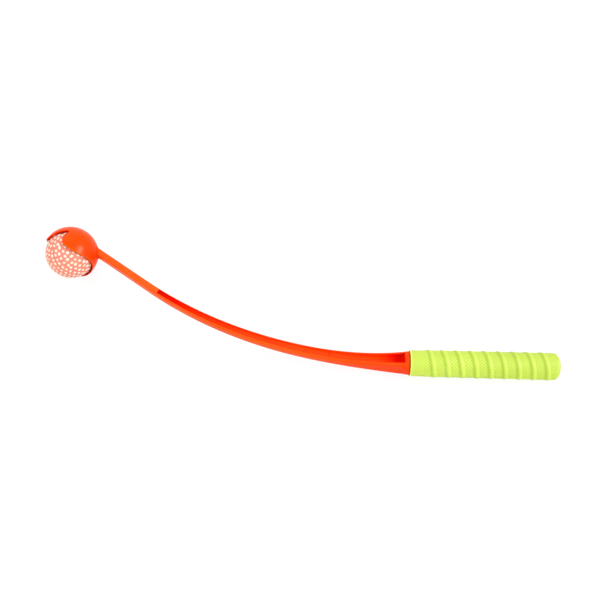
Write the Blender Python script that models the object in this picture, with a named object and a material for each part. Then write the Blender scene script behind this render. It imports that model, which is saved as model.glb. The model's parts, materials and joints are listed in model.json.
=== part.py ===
"""Dog ball thrower: a sprung plastic arm with a ball cup, a ribbed rubber grip and a rubber ball.

The thrower is drawn flat first. Its own frame has the ball's centre at the origin, +X towards
the handle, +Y towards the hollow side of the bend and +Z across the arm. The arm is one
moulding: the cup, the bowed channelled arm, the round collar and the cored handle under the
grip. The finished thrower is then laid on the ground the way it comes to rest: on the cup, on
the outside of the bend and on the grip. World +X points along it towards the butt and +Z is up.
Lengths are in metres and angles in degrees.
"""
import math

import bmesh
import bpy
import numpy as np
from mathutils import Vector

# Ball
BALL_RADIUS = 0.0320
BALL_SIDES = 36

# Cup, a shell of more than half a ball about its own pole
SEAT_CLEARANCE = 0.0006
RIM_CLEARANCE = 0.0003
CUP_WALL = 0.0023
RIM_BEAD = 0.0004
BEAD_LENGTH = 0.0050
POLE_HEADING = 59.0
FINGER_MIDDLE_POLAR = 95.5
FINGER_POLAR = 105.0
FINGER_BEARING = 45.0
LOBE_POLAR = 104.3
LOBE_BEARING = 109.0
HEEL_POLAR = 87.8
CUP_SIDES = 64
CUP_RINGS = 13
RIM_EDGE_SHARES = (0.8, 0.2)

# Notch on each side of the cup, between the front finger and the side lobe
NOTCH_POLAR = 75.5
NOTCH_BEARING = 83.4
NOTCH_RADIUS = 0.0032
NOTCH_FINGER_SLANT = 50.0
LOBE_CORNER_RADIUS = 0.0105
NOTCH_OVERRUN = 0.0080
NOTCH_ARC_STEPS = 6
SLANT_SHARES = (0.33, 0.67, 1.0)

# Middle line of the arm, from the foot of the square line dropped on it from the ball's centre
NECK_OFFSET = 0.0218
NECK_HEADING = -36.87
NECK_LENGTH = 0.1176
BEND_RADIUS = 0.542
BEND_ANGLE = 35.27
COLLAR_LENGTH = 0.0100

# Section of the arm: depth lies in the plane of the bend, width across it
NECK_DEPTH = 0.0087
NECK_WIDTH = 0.0095
ROOT_FILLET = 0.0045
BEND_DEPTH = 0.0154
BEND_WIDTH = 0.0086
SHOULDER_DEPTH = 0.0194
SHOULDER_WIDTH = 0.0198
SHOULDER_LENGTH = 0.1400
COLLAR_RADIUS = 0.0138
EDGE_RADIUS = 0.0013
ROUND_SHARE = 0.96
EDGE_STEPS = 4
WEB_SHARES = (1.0, 0.4, -0.4, -1.0)

# Where the arm gets a section, as shares of the stretch that each row covers
BEND_STEPS = 24
ROOT_SHARES = (-0.1, 0.0, 0.15, 0.45, 1.0)
NECK_SHARES = (0.36, 0.68, 1.0)
FLARE_SHARES = (0.1, 0.3, 0.5, 0.7)
COLLAR_SHARES = (0.2, 0.4, 0.8, 0.95, 1.0)

# Channel sunk in both sides of the arm, which leaves a web and two flanges
CHANNEL_START = 0.1336
CHANNEL_END_LAND = 0.0040
CHANNEL_END_SLOPE = 0.0006
CHANNEL_DRAFT = 0.0003
FLANGE_SHARE = 0.16
WEB_THICKNESS = 0.0022

# Handle core under the grip, bored out from the butt
CORE_RADIUS = 0.0118
CORE_WALL = 0.0030
CORE_BORE_LENGTH = 0.1500

# Grip sleeve
GRIP_LENGTH = 0.1770
GRIP_FRONT_RADIUS = 0.0153
GRIP_BUTT_RADIUS = 0.0156
GRIP_CLEARANCE = 0.0003
GRIP_LIP_RADIUS = 0.0012
BUTT_WALL = 0.0040
BUTT_ROUNDING = 0.0070
BUTT_FLAT_RADIUS = 0.0050
RIB_HEIGHT = 0.0012
RIB_WIDTH = 0.0092
RIB_PITCH = 0.0166
RIB_PHASE = 0.0206
CUFF_LENGTH = 0.0160
RIB_END = 0.0080
RIB_FADE = 0.0060
GRIP_SIDES = 28
RINGS_PER_PITCH = 9
LIP_STEPS = 2
BUTT_STEPS = 5

# Shading, welding and how level a side must be to lie on
SHARP_ANGLE = 35.0
WELD_DISTANCE = 0.000010
LEAST_LEVEL_SHARE = 0.5

ORANGE = (1.0, 0.105, 0.010)
LIME = (0.690, 0.940, 0.110)
CORAL = (0.920, 0.300, 0.200)


def clear_scene():
    """Take away whatever the file opened with."""
    for item in list(bpy.data.objects):
        bpy.data.objects.remove(item, do_unlink=True)


def make_material(name, colour, roughness):
    """A plain plastic or rubber finish."""
    material = bpy.data.materials.new(name)
    material.use_nodes = True
    shader = material.node_tree.nodes["Principled BSDF"]
    shader.inputs["Base Color"].default_value = (*colour, 1.0)
    shader.inputs["Roughness"].default_value = roughness
    shader.inputs["Metallic"].default_value = 0.0
    return material


def smooth_step(value):
    """An S curve from 0 to 1, held at both ends."""
    held = min(max(value, 0.0), 1.0)
    return held * held * (3.0 - 2.0 * held)


def unit(heading):
    """Unit vector in the plane of the bend, at a heading in degrees."""
    turn = math.radians(heading)
    return np.array([math.cos(turn), math.sin(turn), 0.0])


def mesh_object(name, vertices, faces, material=None):
    """A closed mesh with its faces turned outwards, linked to the scene."""
    mesh = bpy.data.meshes.new(name)
    mesh.from_pydata([tuple(point) for point in vertices], [], faces)
    work = bmesh.new()
    work.from_mesh(mesh)
    bmesh.ops.recalc_face_normals(work, faces=work.faces)
    work.to_mesh(mesh)
    work.free()
    item = bpy.data.objects.new(name, mesh)
    bpy.context.scene.collection.objects.link(item)
    if material is not None:
        mesh.materials.append(material)
        mesh.shade_smooth()
        mesh.set_sharp_from_angle(angle=math.radians(SHARP_ANGLE))
    return item


def stacked_rings(rings, first_point, last_point):
    """Vertices and faces of a tube through equal rings, closed by a fan at each end."""
    sides = len(rings[0])
    vertices = [point for ring in rings for point in ring]
    faces = []
    for row in range(len(rings) - 1):
        for side in range(sides):
            here = row * sides + side
            beside = row * sides + (side + 1) % sides
            faces.append((here, beside, beside + sides, here + sides))
    vertices += [first_point, last_point]
    last_row = (len(rings) - 1) * sides
    for side in range(sides):
        beside = (side + 1) % sides
        faces.append((beside, side, len(vertices) - 2))
        faces.append((last_row + side, last_row + beside, len(vertices) - 1))
    return vertices, faces


def apply_boolean(item, operation, other):
    """Work a cut or a join into an object's mesh and take the other shape away."""
    modifier = item.modifiers.new(operation.lower(), "BOOLEAN")
    modifier.operation = operation
    modifier.object = other
    modifier.solver = "EXACT"
    other.hide_render = True
    other.display_type = "WIRE"
    graph = bpy.context.evaluated_depsgraph_get()
    worked = bpy.data.meshes.new_from_object(item.evaluated_get(graph))
    work = bmesh.new()
    work.from_mesh(worked)
    bmesh.ops.remove_doubles(work, verts=work.verts, dist=WELD_DISTANCE)
    bmesh.ops.dissolve_degenerate(work, edges=work.edges, dist=WELD_DISTANCE)
    work.to_mesh(worked)
    work.free()
    item.modifiers.clear()
    item.data = worked
    bpy.data.objects.remove(other, do_unlink=True)


def cup_outer_radius():
    """Radius of the outside of the cup, without the bead at its rim."""
    return BALL_RADIUS + SEAT_CLEARANCE + CUP_WALL


def cup_direction(polar, bearing):
    """Unit vector from the ball's centre; bearing 0 is the finger, 90 the side, 180 the heel."""
    pole = unit(POLE_HEADING)
    finger = unit(POLE_HEADING + 90.0)
    across = np.array([0.0, 0.0, 1.0])
    tilt = math.radians(polar)
    turn = math.radians(bearing)
    return math.cos(tilt) * pole + math.sin(tilt) * (math.cos(turn) * finger + math.sin(turn) * across)


def rim_polar(bearing):
    """Angle from the pole to the rim: high at the finger's two corners and the lobes, low at the heel."""
    turned = abs((bearing + 180.0) % 360.0 - 180.0)
    if turned <= FINGER_BEARING:
        rise = smooth_step(turned / FINGER_BEARING)
        return FINGER_MIDDLE_POLAR + (FINGER_POLAR - FINGER_MIDDLE_POLAR) * rise
    if turned <= LOBE_BEARING:
        rise = smooth_step((turned - FINGER_BEARING) / (LOBE_BEARING - FINGER_BEARING))
        return FINGER_POLAR + (LOBE_POLAR - FINGER_POLAR) * rise
    wave = math.cos(math.pi * (turned - LOBE_BEARING) / (180.0 - LOBE_BEARING))
    return HEEL_POLAR + (LOBE_POLAR - HEEL_POLAR) * (1.0 + wave) / 2.0


def rim_edge_angle():
    """How far the round edge of the rim stands past the rim's own angle."""
    return math.degrees(CUP_WALL / cup_outer_radius()) / 4.0


def cup_inner_radius(polar):
    """The seat follows the ball, then runs straight out so that the ball can leave."""
    seat = BALL_RADIUS + SEAT_CLEARANCE
    if polar <= 90.0:
        return seat
    return max(seat, (BALL_RADIUS + RIM_CLEARANCE) / math.sin(math.radians(polar)))


def cup_point(polar, bearing, through):
    """A point in the wall; through is 0 on the seat and 1 on the outside."""
    inner = cup_inner_radius(polar)
    rim_distance = math.radians(rim_polar(bearing) - polar) * inner
    bead = RIM_BEAD * (1.0 - smooth_step(rim_distance / BEAD_LENGTH))
    radius = inner + through * (cup_outer_radius() + bead - inner)
    return radius * cup_direction(polar, bearing)


def build_cup_shell():
    """The shell without its notches, from its outer pole over the rim to its inner pole."""
    rings = []
    bearings = [360.0 * side / CUP_SIDES for side in range(CUP_SIDES)]
    shares = [ring / CUP_RINGS for ring in range(1, CUP_RINGS + 1)]
    for share in shares:
        rings.append([cup_point(share * rim_polar(b), b, 1.0) for b in bearings])
    for through in RIM_EDGE_SHARES:
        rings.append([cup_point(rim_polar(b) + rim_edge_angle(), b, through) for b in bearings])
    for share in reversed(shares):
        rings.append([cup_point(share * rim_polar(b), b, 0.0) for b in bearings])
    vertices, faces = stacked_rings(rings, cup_point(0.0, 0.0, 1.0), cup_point(0.0, 0.0, 0.0))
    return mesh_object("cup_shell", vertices, faces)


def notch_outline():
    """Flat outline of a notch: x towards the finger, y towards the rim, from the round end's centre."""
    points = []
    slant = math.radians(NOTCH_FINGER_SLANT)
    for step in range(NOTCH_ARC_STEPS + 1):
        turn = math.pi + (math.pi - slant) * step / NOTCH_ARC_STEPS
        points.append((NOTCH_RADIUS * math.cos(turn), NOTCH_RADIUS * math.sin(turn)))
    rim = math.radians(LOBE_POLAR + rim_edge_angle() - NOTCH_POLAR) * cup_outer_radius()
    out = rim + NOTCH_OVERRUN
    start = points[-1]
    rise = out - start[1]
    for share in SLANT_SHARES:
        points.append((start[0] + share * rise * math.tan(slant), start[1] + share * rise))
    corner = (-NOTCH_RADIUS - LOBE_CORNER_RADIUS, rim - LOBE_CORNER_RADIUS)
    points.append((corner[0], out))
    for step in range(NOTCH_ARC_STEPS + 1):
        turn = math.pi / 2.0 * (1.0 - step / NOTCH_ARC_STEPS)
        along = LOBE_CORNER_RADIUS * math.cos(turn)
        points.append((corner[0] + along, corner[1] + LOBE_CORNER_RADIUS * math.sin(turn)))
    return points


def build_notch_cutter(side):
    """A wedge that widens away from the ball's centre; side is 1 or -1 across the arm."""
    outer = cup_outer_radius()
    directions = []
    for across, along in notch_outline():
        polar = NOTCH_POLAR + math.degrees(along / outer)
        shift = math.degrees(across / (outer * math.sin(math.radians(polar))))
        directions.append(cup_direction(polar, side * (NOTCH_BEARING - shift)))
    count = len(directions)
    inside = [direction * (BALL_RADIUS - NOTCH_OVERRUN) for direction in directions]
    outside = [direction * (outer + NOTCH_OVERRUN) for direction in directions]
    faces = [tuple(range(count)), tuple(range(2 * count - 1, count - 1, -1))]
    for step in range(count):
        after = (step + 1) % count
        faces.append((step, step + count, after + count, after))
    cutter = mesh_object("notch_cutter", inside + outside, faces)
    work = bmesh.new()
    work.from_mesh(cutter.data)
    bmesh.ops.triangulate(work, faces=[face for face in work.faces if len(face.verts) > 4])
    bmesh.ops.recalc_face_normals(work, faces=work.faces)
    work.to_mesh(cutter.data)
    work.free()
    return cutter


def bend_length():
    """Length of the arm's middle line through its bend."""
    return math.radians(BEND_ANGLE) * BEND_RADIUS


def shoulder_end():
    """Distance along the middle line to where the bend stops and the handle starts."""
    return NECK_LENGTH + bend_length()


def collar_end():
    """Distance along the middle line to the collar's face, where the grip begins."""
    return shoulder_end() + COLLAR_LENGTH


def centre_line(distance):
    """Place and heading of the arm's middle line: straight neck, round bend, straight handle."""
    place = NECK_OFFSET * unit(NECK_HEADING + 90.0)
    place = place + min(distance, NECK_LENGTH) * unit(NECK_HEADING)
    turned = min(max((distance - NECK_LENGTH) / bend_length(), 0.0), 1.0) * BEND_ANGLE
    heading = NECK_HEADING + turned
    place = place + BEND_RADIUS * (unit(NECK_HEADING + 90.0) - unit(heading + 90.0))
    place = place + max(distance - shoulder_end(), 0.0) * unit(heading)
    return place, heading


def arm_size(distance):
    """Depth, width and edge radius of the arm's section."""
    bowed = min(max((distance - NECK_LENGTH) / bend_length(), 0.0), 1.0)
    flared = min(max(1.0 - (shoulder_end() - distance) / SHOULDER_LENGTH, 0.0), 1.0) ** 3
    depth = NECK_DEPTH + (BEND_DEPTH - NECK_DEPTH) * bowed + (SHOULDER_DEPTH - BEND_DEPTH) * flared
    width = NECK_WIDTH + (BEND_WIDTH - NECK_WIDTH) * bowed + (SHOULDER_WIDTH - BEND_WIDTH) * flared
    rounded = smooth_step((distance - shoulder_end()) / COLLAR_LENGTH)
    depth = depth + (2.0 * COLLAR_RADIUS - depth) * rounded
    width = width + (2.0 * COLLAR_RADIUS - width) * rounded
    radius = EDGE_RADIUS + (ROUND_SHARE * COLLAR_RADIUS - EDGE_RADIUS) * rounded
    return depth, width, radius


def core_size():
    """Depth, width and edge radius of the nearly round core under the grip."""
    return 2.0 * CORE_RADIUS, 2.0 * CORE_RADIUS, ROUND_SHARE * CORE_RADIUS


def channel_end():
    """Distance along the middle line to the channel's square end by the grip."""
    return collar_end() - CHANNEL_END_LAND


def channel_depth(distance, width):
    """How far the channel is sunk in each side."""
    into = min((distance - CHANNEL_START) / CHANNEL_END_SLOPE, (channel_end() - distance) / CHANNEL_END_SLOPE)
    return (width - WEB_THICKNESS) / 2.0 * min(max(into, 0.0), 1.0)


def side_reach(height, depth, width, radius):
    """Half width of a round-edged section at a height above its middle."""
    above = max(abs(height) - (depth / 2.0 - radius), 0.0)
    return width / 2.0 - radius + math.sqrt(max(radius ** 2 - above ** 2, 0.0))


def section_outline(size, sunk):
    """Closed outline of a section, as pairs of height above the middle line and reach across."""
    depth, width, radius = size
    lip = depth * (0.5 - FLANGE_SHARE)
    edge_end = max(depth / 2.0 - radius, lip + (depth / 2.0 - lip) / 4.0)
    edge_angle = math.asin((edge_end - depth / 2.0 + radius) / radius)
    half = [(depth / 2.0, 0.0)]
    for step in range(EDGE_STEPS + 1):
        turn = math.pi / 2.0 + (edge_angle - math.pi / 2.0) * step / EDGE_STEPS
        height = depth / 2.0 - radius + radius * math.sin(turn)
        half.append((height, width / 2.0 - radius + radius * math.cos(turn)))
    half.append((lip, side_reach(lip, depth, width, radius)))
    floor = lip - CHANNEL_DRAFT
    for share in WEB_SHARES:
        half.append((share * floor, side_reach(share * floor, depth, width, radius) - sunk))
    lower = [(-height, reach) for height, reach in reversed(half[1:EDGE_STEPS + 3])]
    near = half + lower + [(-depth / 2.0, 0.0)]
    far = [(height, -reach) for height, reach in reversed(near[1:-1])]
    return near + far


def set_square(outline, distance):
    """An outline set square on the middle line."""
    place, heading = centre_line(distance)
    up = unit(heading + 90.0)
    across = np.array([0.0, 0.0, 1.0])
    return [place + height * up + reach * across for height, reach in outline]


def section_ring(distance):
    """The arm's own section at a distance along the middle line."""
    size = arm_size(distance)
    return set_square(section_outline(size, channel_depth(distance, size[1])), distance)


def root_ring(stand_off):
    """The neck's section wrapped on the round back of the cup, flared by a fillet near it."""
    along = unit(NECK_HEADING)
    up = unit(NECK_HEADING + 90.0)
    rest = 1.0 - min(max(stand_off / ROOT_FILLET, 0.0), 1.0)
    flare = ROOT_FILLET * (1.0 - math.sqrt(1.0 - rest ** 2))
    ring = []
    for height, reach in section_outline(arm_size(0.0), 0.0):
        length = math.hypot(height, reach)
        height = NECK_OFFSET + height * (1.0 + flare / length)
        reach = reach * (1.0 + flare / length)
        meets = math.sqrt(cup_outer_radius() ** 2 - height ** 2 - reach ** 2)
        ring.append((meets + stand_off) * along + height * up + np.array([0.0, 0.0, reach]))
    return ring


def arm_stations():
    """Distances at which the arm gets a section: few on the neck, more where its form changes."""
    stations = [NECK_LENGTH * share for share in NECK_SHARES]
    stations += [NECK_LENGTH + bend_length() * step / BEND_STEPS for step in range(1, BEND_STEPS + 1)]
    stations += [shoulder_end() - SHOULDER_LENGTH * share for share in FLARE_SHARES]
    for end, slope in ((CHANNEL_START, CHANNEL_END_SLOPE), (channel_end(), -CHANNEL_END_SLOPE)):
        stations += [end, end + slope]
    stations += [shoulder_end() + COLLAR_LENGTH * share for share in COLLAR_SHARES]
    return sorted(stations)


def build_arm(material):
    """The whole moulding: arm, collar and cored handle, joined to the notched cup."""
    rings = [root_ring(ROOT_FILLET * share) for share in ROOT_SHARES]
    rings += [section_ring(distance) for distance in arm_stations()]
    core_end = collar_end() + GRIP_LENGTH - BUTT_WALL
    end_place, heading = centre_line(core_end)
    rings += [set_square(section_outline(core_size(), 0.0), distance) for distance in (collar_end(), core_end)]
    first = sum(rings[0]) / len(rings[0])
    vertices, faces = stacked_rings(rings, first, end_place)
    arm = mesh_object("throwing_arm", vertices, faces)
    cup = build_cup_shell()
    for side in (1, -1):
        apply_boolean(cup, "DIFFERENCE", build_notch_cutter(side))
    apply_boolean(arm, "UNION", cup)
    apply_boolean(arm, "DIFFERENCE", build_core_bore(end_place, heading))
    arm.data.name = "throwing_arm"
    arm.data.materials.clear()
    arm.data.materials.append(material)
    arm.data.shade_smooth()
    arm.data.set_sharp_from_angle(angle=math.radians(SHARP_ANGLE))
    return arm


def build_core_bore(end_place, heading):
    """Cutter for the blind hole that cores the handle from its butt end."""
    overrun = CORE_WALL
    along = unit(heading)
    up = unit(heading + 90.0)
    across = np.array([0.0, 0.0, 1.0])
    rings = []
    for distance in (-CORE_BORE_LENGTH, overrun):
        middle = end_place + distance * along
        radius = CORE_RADIUS - CORE_WALL
        turns = [2.0 * math.pi * side / GRIP_SIDES for side in range(GRIP_SIDES)]
        rings.append([middle + radius * (math.cos(t) * up + math.sin(t) * across) for t in turns])
    vertices, faces = stacked_rings(rings, sum(rings[0]) / GRIP_SIDES, sum(rings[1]) / GRIP_SIDES)
    return mesh_object("core_bore", vertices, faces)


def rib_swell(along, turn):
    """Height of the one helical rib over the sleeve, fading out near both ends."""
    middle = RIB_PHASE + RIB_PITCH * turn / (2.0 * math.pi)
    apart = (along - middle + RIB_PITCH / 2.0) % RIB_PITCH - RIB_PITCH / 2.0
    if abs(apart) >= RIB_WIDTH / 2.0:
        return 0.0
    fade = smooth_step((along - CUFF_LENGTH) / RIB_FADE) * smooth_step((GRIP_LENGTH - RIB_END - along) / RIB_FADE)
    return RIB_HEIGHT * fade * math.cos(math.pi * apart / RIB_WIDTH) ** 2


def grip_profile():
    """Outside of the sleeve as pairs of distance and radius, from its front lip to the butt's flat."""
    profile = []
    for step in range(LIP_STEPS + 1):
        turn = math.pi / 2.0 * step / LIP_STEPS
        along = GRIP_LIP_RADIUS * (1.0 - math.sin(turn))
        profile.append((along, GRIP_FRONT_RADIUS - GRIP_LIP_RADIUS * (1.0 - math.cos(turn))))
    profile.reverse()
    straight_end = GRIP_LENGTH - BUTT_ROUNDING
    count = round((straight_end - CUFF_LENGTH) / RIB_PITCH * RINGS_PER_PITCH)
    for step in range(count + 1):
        along = CUFF_LENGTH + (straight_end - CUFF_LENGTH) * step / count
        share = along / straight_end
        profile.append((along, GRIP_FRONT_RADIUS + (GRIP_BUTT_RADIUS - GRIP_FRONT_RADIUS) * share))
    for step in range(1, BUTT_STEPS + 1):
        turn = math.pi / 2.0 * step / BUTT_STEPS
        inward = (GRIP_BUTT_RADIUS - BUTT_FLAT_RADIUS) * (1.0 - math.cos(turn))
        profile.append((straight_end + BUTT_ROUNDING * math.sin(turn), GRIP_BUTT_RADIUS - inward))
    return profile


def build_grip(material):
    """Rubber sleeve, closed at the butt, with a helical rib; its origin is at its front on its axis."""
    turns = [2.0 * math.pi * side / GRIP_SIDES for side in range(GRIP_SIDES)]
    bore = (CORE_RADIUS + GRIP_CLEARANCE) / math.cos(math.pi / GRIP_SIDES)
    rings = []
    for along in (GRIP_LENGTH - BUTT_WALL, 0.0):
        rings.append([(along, bore * math.cos(t), bore * math.sin(t)) for t in turns])
    for along, radius in grip_profile():
        ring = []
        for turn in turns:
            reach = radius + rib_swell(along, turn)
            ring.append((along, reach * math.cos(turn), reach * math.sin(turn)))
        rings.append(ring)
    vertices, faces = stacked_rings(rings, (GRIP_LENGTH - BUTT_WALL, 0.0, 0.0), (GRIP_LENGTH, 0.0, 0.0))
    grip = mesh_object("grip_sleeve", vertices, faces, material)
    place, heading = centre_line(collar_end() + GRIP_CLEARANCE)
    grip.location = place
    grip.rotation_euler = (0.0, 0.0, math.radians(heading))
    return grip


def build_ball(material):
    """Rubber ball about its own centre, its poles on the line along which it leaves the cup."""
    rings = []
    turns = [2.0 * math.pi * side / BALL_SIDES for side in range(BALL_SIDES)]
    ring_count = BALL_SIDES // 2
    for step in range(1, ring_count):
        polar = math.pi * step / ring_count
        reach = BALL_RADIUS * math.sin(polar)
        rings.append([(reach * math.cos(t), reach * math.sin(t), BALL_RADIUS * math.cos(polar)) for t in turns])
    vertices, faces = stacked_rings(rings, (0.0, 0.0, BALL_RADIUS), (0.0, 0.0, -BALL_RADIUS))
    ball = mesh_object("ball", vertices, faces, material)
    ball.rotation_euler = Vector(unit(POLE_HEADING)).to_track_quat("Z", "Y").to_euler()
    return ball


def world_points(items):
    """All corner points of some objects, in world space."""
    bpy.context.view_layer.update()
    points = []
    for item in items:
        points += [item.matrix_world @ vertex.co for vertex in item.data.vertices]
    return points


def balance_point(items):
    """Middle of the volume of some objects together."""
    bpy.context.view_layer.update()
    total = 0.0
    moment = Vector((0.0, 0.0, 0.0))
    for item in items:
        work = bmesh.new()
        work.from_mesh(item.data)
        work.transform(item.matrix_world)
        bmesh.ops.triangulate(work, faces=work.faces)
        for face in work.faces:
            one, two, three = (vertex.co for vertex in face.verts)
            volume = one.dot(two.cross(three)) / 6.0
            total += volume
            moment += volume * (one + two + three) / 4.0
        work.free()
    return moment / total


def ground_normal(items):
    """Outward normal of the hull face that the object comes to rest on, across the arm's plane."""
    balance = balance_point(items)
    work = bmesh.new()
    for point in world_points(items):
        work.verts.new(point)
    hull = bmesh.ops.convex_hull(work, input=work.verts, use_existing_faces=False)
    inner = [part for part in hull["geom_interior"] if isinstance(part, bmesh.types.BMVert)]
    bmesh.ops.delete(work, geom=list(dict.fromkeys(inner)), context="VERTS")
    best = None
    for face in work.faces:
        normal = face.normal if face.normal.dot(face.calc_center_median() - balance) > 0.0 else -face.normal
        if normal.z > -LEAST_LEVEL_SHARE:
            continue
        foot = balance + normal * normal.dot(face.verts[0].co - balance)
        corners = [vertex.co for vertex in face.verts]
        turns = [(corners[i] - foot).cross(corners[(i + 1) % 3] - foot).dot(normal) for i in range(3)]
        if min(turns) > 0.0 or max(turns) < 0.0:
            best = normal.copy()
    work.free()
    return best


def lay_down(items):
    """Lay the object on the ground under one parent, centred over the origin."""
    normal = ground_normal(items)
    stand = bpy.data.objects.new("resting_place", None)
    bpy.context.scene.collection.objects.link(stand)
    turn = normal.rotation_difference(Vector((0.0, 0.0, -1.0)))
    stand.matrix_world = turn.to_matrix().to_4x4()
    for item in items:
        item.parent = stand
    points = world_points(items)
    low = Vector([min(point[axis] for point in points) for axis in range(3)])
    high = Vector([max(point[axis] for point in points) for axis in range(3)])
    middle = (low + high) / 2.0
    stand.location = (-middle.x, -middle.y, -low.z)
    bpy.context.view_layer.update()
    return stand


def main():
    """Build the thrower and lay it down."""
    clear_scene()
    plastic = make_material("orange_plastic", ORANGE, 0.38)
    rubber = make_material("lime_rubber", LIME, 0.62)
    coral = make_material("coral_rubber", CORAL, 0.55)
    lay_down([build_arm(plastic), build_grip(rubber), build_ball(coral)])


main()
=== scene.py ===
"""Looks of the dog ball thrower: cup and bowed arm, ribbed rubber grip and raised-dot ball.

Every surface is worked out in the thrower's own frame, which has the ball's centre at the origin,
+X towards the handle, +Y towards the hollow side of the bend and +Z across the arm. A RestFrame,
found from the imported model, then lays it where the thrower rests. Lengths are in metres, angles
in degrees, and colours are linear.
"""

import json
import logging
import math
from dataclasses import dataclass
from enum import Enum

import bpy
import numpy as np
import numpy.typing as npt
from mathutils import Matrix, Vector

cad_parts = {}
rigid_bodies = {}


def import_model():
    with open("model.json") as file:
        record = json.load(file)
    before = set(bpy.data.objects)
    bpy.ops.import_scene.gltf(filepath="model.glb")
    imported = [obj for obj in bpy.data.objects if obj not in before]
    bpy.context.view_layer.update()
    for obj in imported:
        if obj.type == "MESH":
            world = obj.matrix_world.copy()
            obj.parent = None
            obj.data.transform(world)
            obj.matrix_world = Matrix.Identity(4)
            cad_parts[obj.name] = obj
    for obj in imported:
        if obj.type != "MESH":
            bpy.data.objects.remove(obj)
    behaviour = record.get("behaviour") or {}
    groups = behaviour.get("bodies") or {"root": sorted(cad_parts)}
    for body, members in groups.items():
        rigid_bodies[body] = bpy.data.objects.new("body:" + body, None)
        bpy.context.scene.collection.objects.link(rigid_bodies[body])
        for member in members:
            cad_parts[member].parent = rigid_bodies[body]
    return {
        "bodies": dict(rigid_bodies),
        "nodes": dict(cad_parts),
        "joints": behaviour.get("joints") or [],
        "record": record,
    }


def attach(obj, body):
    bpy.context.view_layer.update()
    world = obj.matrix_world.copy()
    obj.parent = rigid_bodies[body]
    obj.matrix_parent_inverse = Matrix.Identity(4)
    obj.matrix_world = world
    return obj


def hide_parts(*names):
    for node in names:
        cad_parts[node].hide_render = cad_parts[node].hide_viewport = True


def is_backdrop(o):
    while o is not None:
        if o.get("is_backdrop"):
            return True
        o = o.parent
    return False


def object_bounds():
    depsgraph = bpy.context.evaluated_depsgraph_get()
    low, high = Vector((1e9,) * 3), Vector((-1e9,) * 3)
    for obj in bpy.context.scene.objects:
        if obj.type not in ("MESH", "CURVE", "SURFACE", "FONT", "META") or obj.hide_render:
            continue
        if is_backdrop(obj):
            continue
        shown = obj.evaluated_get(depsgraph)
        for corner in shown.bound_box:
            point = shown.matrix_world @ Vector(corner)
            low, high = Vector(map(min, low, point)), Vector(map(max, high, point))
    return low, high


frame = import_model()
cad_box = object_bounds()

Floats = npt.NDArray[np.float64]
Indices = npt.NDArray[np.int64]
Triple = tuple[float, float, float]
Node = bpy.types.Node
Socket = bpy.types.NodeSocket

log = logging.getLogger("thrower")

ACROSS = np.array([0.0, 0.0, 1.0])


class Slot(Enum):
    """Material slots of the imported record."""

    ARM = "arm_plastic"
    GRIP = "grip_rubber"
    BALL = "ball_rubber"


class Body(Enum):
    """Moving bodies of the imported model."""

    THROWER = "thrower"
    BALL = "loose_ball"


def unit(heading: float | Floats) -> Floats:
    """Unit vectors in the plane of the bend at some headings, last axis xyz."""
    turn = np.radians(np.asarray(heading, float))
    return np.stack([np.cos(turn), np.sin(turn), np.zeros_like(turn)], axis=-1)


def arc(first: float, last: float, count: int) -> Floats:
    """Cosine and sine, a row for each, at even turns from first to last."""
    turn = np.radians(np.linspace(first, last, count))
    return np.stack([np.cos(turn), np.sin(turn)], axis=1)


def normalised(vectors: Floats) -> Floats:
    """Vectors divided by their lengths."""
    return vectors / np.linalg.norm(vectors, axis=-1, keepdims=True)


def between(start: float | Floats, end: float | Floats, share: float | Floats) -> Floats:
    """From start to end in a straight line as the share goes from 0 to 1."""
    return start + (end - start) * share


def smooth_step(value: Floats) -> Floats:
    """An S curve from 0 to 1: 3v^2 - 2v^3 of the value held between 0 and 1."""
    held = np.clip(value, 0.0, 1.0)
    return held * held * (3.0 - 2.0 * held)


def hump(value: Floats) -> Floats:
    """1 at zero and 0 from -1 down and 1 up: the cosine of value times a quarter turn, squared."""
    return np.cos(math.pi / 2.0 * np.clip(value, -1.0, 1.0)) ** 2


def folded(bearing: Floats) -> Floats:
    """How far bearings are from 0, either way round."""
    return np.abs((bearing + 180.0) % 360.0 - 180.0)


def link(item: bpy.types.Object) -> bpy.types.Object:
    """Puts an object into the scene."""
    bpy.context.scene.collection.objects.link(item)
    return item


@dataclass(frozen=True)
class RestFrame:
    """Where the thrower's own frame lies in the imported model.

    Args:
        origin: the ball's centre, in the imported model's frame.
        turn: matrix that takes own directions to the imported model's.
    """

    origin: Floats
    turn: Floats

    @classmethod
    def found_in(cls, model: dict, pole_heading: float) -> "RestFrame":
        """Works the frame out: the ball leaves along minus the cup's pole, the butt faces along
        the handle, and the cross product of the two runs across the arm.

        Args:
            pole_heading: heading of the cup's pole in the own frame.

        Returns:
            The frame, with the ball's own middle as its origin.
        """
        vertices = model["nodes"]["ball"].data.vertices
        points = np.zeros(len(vertices) * 3)
        vertices.foreach_get("co", points)
        pole = -np.array(model["joints"][0]["axis"], float)
        handle = np.array(model["record"]["mounts"][0]["axis"], float)
        across = normalised(np.cross(handle, pole))
        pole, own_pole = normalised(pole), unit(pole_heading)
        there = np.stack([pole, np.cross(across, pole), across], axis=1)
        here = np.stack([own_pole, np.cross(ACROSS, own_pole), ACROSS], axis=1)
        return cls(points.reshape(-1, 3).mean(axis=0), there @ here.T)

    def place(self, points: Floats) -> Floats:
        """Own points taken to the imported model's frame."""
        return points @ self.turn.T + self.origin


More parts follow.
